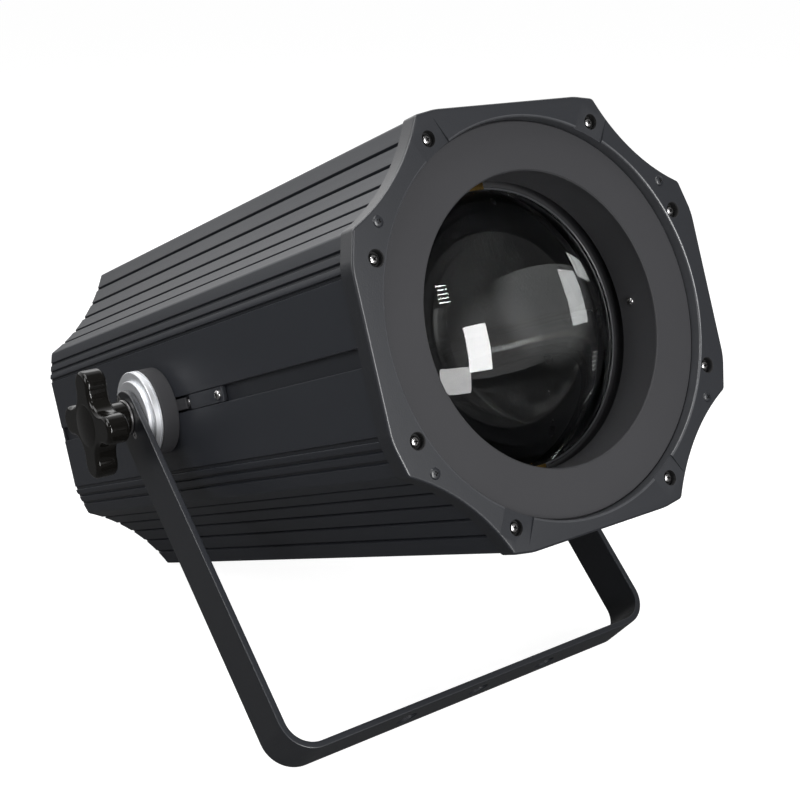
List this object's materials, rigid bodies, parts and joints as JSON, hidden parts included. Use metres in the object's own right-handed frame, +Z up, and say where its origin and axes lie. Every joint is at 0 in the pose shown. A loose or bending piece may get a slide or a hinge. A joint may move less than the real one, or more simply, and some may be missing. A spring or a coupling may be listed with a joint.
{
  "type": "zoom stage spotlight",
  "caption": "Stage spotlight with a fluted housing, scalloped bezel, moving front lens and a tilting floor yoke with star knobs.",
  "frame": {"origin": "on the floor, under the middle of the bounding box, with the light standing on its yoke's cross bar and on the lower rear edge of the housing", "axes": "+X along the tilt axis to the right seen from behind the light, +Y to the rear of the housing, +Z up; the beam leaves towards -Y, raised 21.8 degrees"},
  "size_m": [0.3316, 0.4705, 0.3624],
  "materials": {
    "charcoal_paint": "satin powder coat",
    "flat_black": "matte",
    "black_plastic": "matte",
    "gloss_black": "glossy",
    "steel": "bright",
    "aluminium": "machined",
    "brass": "satin",
    "lens_glass": "clear polished",
    "circuit_board": "satin",
    "phosphor": "matte"
  },
  "bodies": {
    "yoke": {"yoke": "charcoal_paint", "friction_disc_left": "aluminium", "friction_disc_right": "aluminium"},
    "knob_washer_left": {"knob_washer_left": "steel"},
    "knob_left": {"knob_left": "gloss_black"},
    "knob_washer_right": {"knob_washer_right": "steel"},
    "knob_right": {"knob_right": "gloss_black"},
    "head": {"housing_upper": "charcoal_paint", "housing_lower": "charcoal_paint", "side_rail_left": "aluminium", "side_rail_right": "aluminium", "channel_strip_left": "charcoal_paint", "channel_strip_right": "charcoal_paint", "channel_pin_left": "steel", "channel_pin_right": "steel", "pivot_plate_left": "flat_black", "pivot_plate_right": "flat_black", "tilt_stud_left": "steel", "tilt_stud_right": "steel", "front_bezel": "charcoal_paint", "bezel_screw_1": "steel", "bezel_screw_2": "steel", "bezel_screw_3": "steel", "bezel_screw_4": "steel", "bezel_screw_5": "steel", "bezel_screw_6": "steel", "bezel_screw_7": "steel", "bezel_screw_8": "steel", "front_baffle": "flat_black", "front_frame": "flat_black", "guide_rod_left": "steel", "guide_rod_right": "steel", "zoom_motor": "aluminium", "engine_bulkhead": "aluminium", "led_board": "phosphor", "led_holder": "black_plastic", "reflector": "aluminium", "heatsink": "aluminium", "power_supply": "aluminium", "fan_frame": "black_plastic", "control_board": "circuit_board", "display_window": "gloss_black", "rear_cover": "charcoal_paint", "power_inlet": "black_plastic", "dmx_in": "black_plastic", "dmx_out": "black_plastic", "fuse_holder": "black_plastic", "safety_loop": "steel"},
    "lens_carriage": {"lens_carriage": "black_plastic", "main_lens": "lens_glass", "lens_clip_top": "brass", "lens_clip_bottom": "brass"},
    "lead_screw": {"lead_screw": "steel"},
    "fan_rotor": {"fan_rotor": "black_plastic"},
    "button_1": {"button_1": "black_plastic"},
    "button_2": {"button_2": "black_plastic"},
    "button_3": {"button_3": "black_plastic"},
    "button_4": {"button_4": "black_plastic"},
    "dmx_latch": {"dmx_latch": "steel"},
    "fuse_cap": {"fuse_cap": "black_plastic"}
  },
  "joints": [
    {"name": "head_tilt", "type": "hinge", "parent": "yoke", "child": "head", "pos_m": [0, 0.0338, 0.16699], "axis": [1, 0, 0], "range_deg": [-255, 27]},
    {"name": "knob_travel_left", "type": "slide", "parent": "yoke", "child": "knob_washer_left", "axis": [-1, 0, 0], "range_m": [0, 0.0031]},
    {"name": "knob_turn_left", "type": "hinge", "parent": "knob_washer_left", "child": "knob_left", "pos_m": [-0.14, 0.0338, 0.16699], "axis": [-1, 0, 0], "range_deg": [0, 720]},
    {"name": "knob_travel_right", "type": "slide", "parent": "yoke", "child": "knob_washer_right", "axis": [1, 0, 0], "range_m": [0, 0.0031]},
    {"name": "knob_turn_right", "type": "hinge", "parent": "knob_washer_right", "child": "knob_right", "pos_m": [0.14, 0.0338, 0.16699], "axis": [1, 0, 0], "range_deg": [0, 720]},
    {"name": "zoom_travel", "type": "slide", "parent": "head", "child": "lens_carriage", "axis": [0, 0.9285, -0.3714], "range_m": [0, 0.1]},
    {"name": "lead_screw_turn", "type": "hinge", "parent": "head", "child": "lead_screw", "pos_m": [0, -0.21884, 0.1668], "axis": [0, 0.9285, -0.3714], "range_deg": [-4501, 0]},
    {"name": "fan_spin", "type": "hinge", "parent": "head", "child": "fan_rotor", "pos_m": [0, 0.17521, 0.10397], "axis": [0, 0.9285, -0.3714], "continuous": true},
    {"name": "button_1_press", "type": "slide", "parent": "head", "child": "button_1", "axis": [0, -0.9285, 0.3714], "range_m": [0, 0.001], "stiffness_N_per_m": 800, "springref_m": -0.0008},
    {"name": "button_2_press", "type": "slide", "parent": "head", "child": "button_2", "axis": [0, -0.9285, 0.3714], "range_m": [0, 0.001], "stiffness_N_per_m": 800, "springref_m": -0.0008},
    {"name": "button_3_press", "type": "slide", "parent": "head", "child": "button_3", "axis": [0, -0.9285, 0.3714], "range_m": [0, 0.001], "stiffness_N_per_m": 800, "springref_m": -0.0008},
    {"name": "button_4_press", "type": "slide", "parent": "head", "child": "button_4", "axis": [0, -0.9285, 0.3714], "range_m": [0, 0.001], "stiffness_N_per_m": 800, "springref_m": -0.0008},
    {"name": "dmx_latch_press", "type": "slide", "parent": "head", "child": "dmx_latch", "axis": [0, -0.9285, 0.3714], "range_m": [0, 0.0015], "stiffness_N_per_m": 700, "springref_m": -0.0008},
    {"name": "fuse_cap_turn", "type": "hinge", "parent": "head", "child": "fuse_cap", "pos_m": [0.082, 0.19601, 0.10211], "axis": [0, 0.9285, -0.3714], "range_deg": [-90, 0]}
  ],
  "couplings": [
    {"joint": "knob_travel_left", "follows": "knob_turn_left", "m_per_rad": 0.00023873},
    {"joint": "knob_travel_right", "follows": "knob_turn_right", "m_per_rad": 0.00023873},
    {"joint": "lead_screw_turn", "follows": "zoom_travel", "rad_per_m": -785.4}
  ]
}
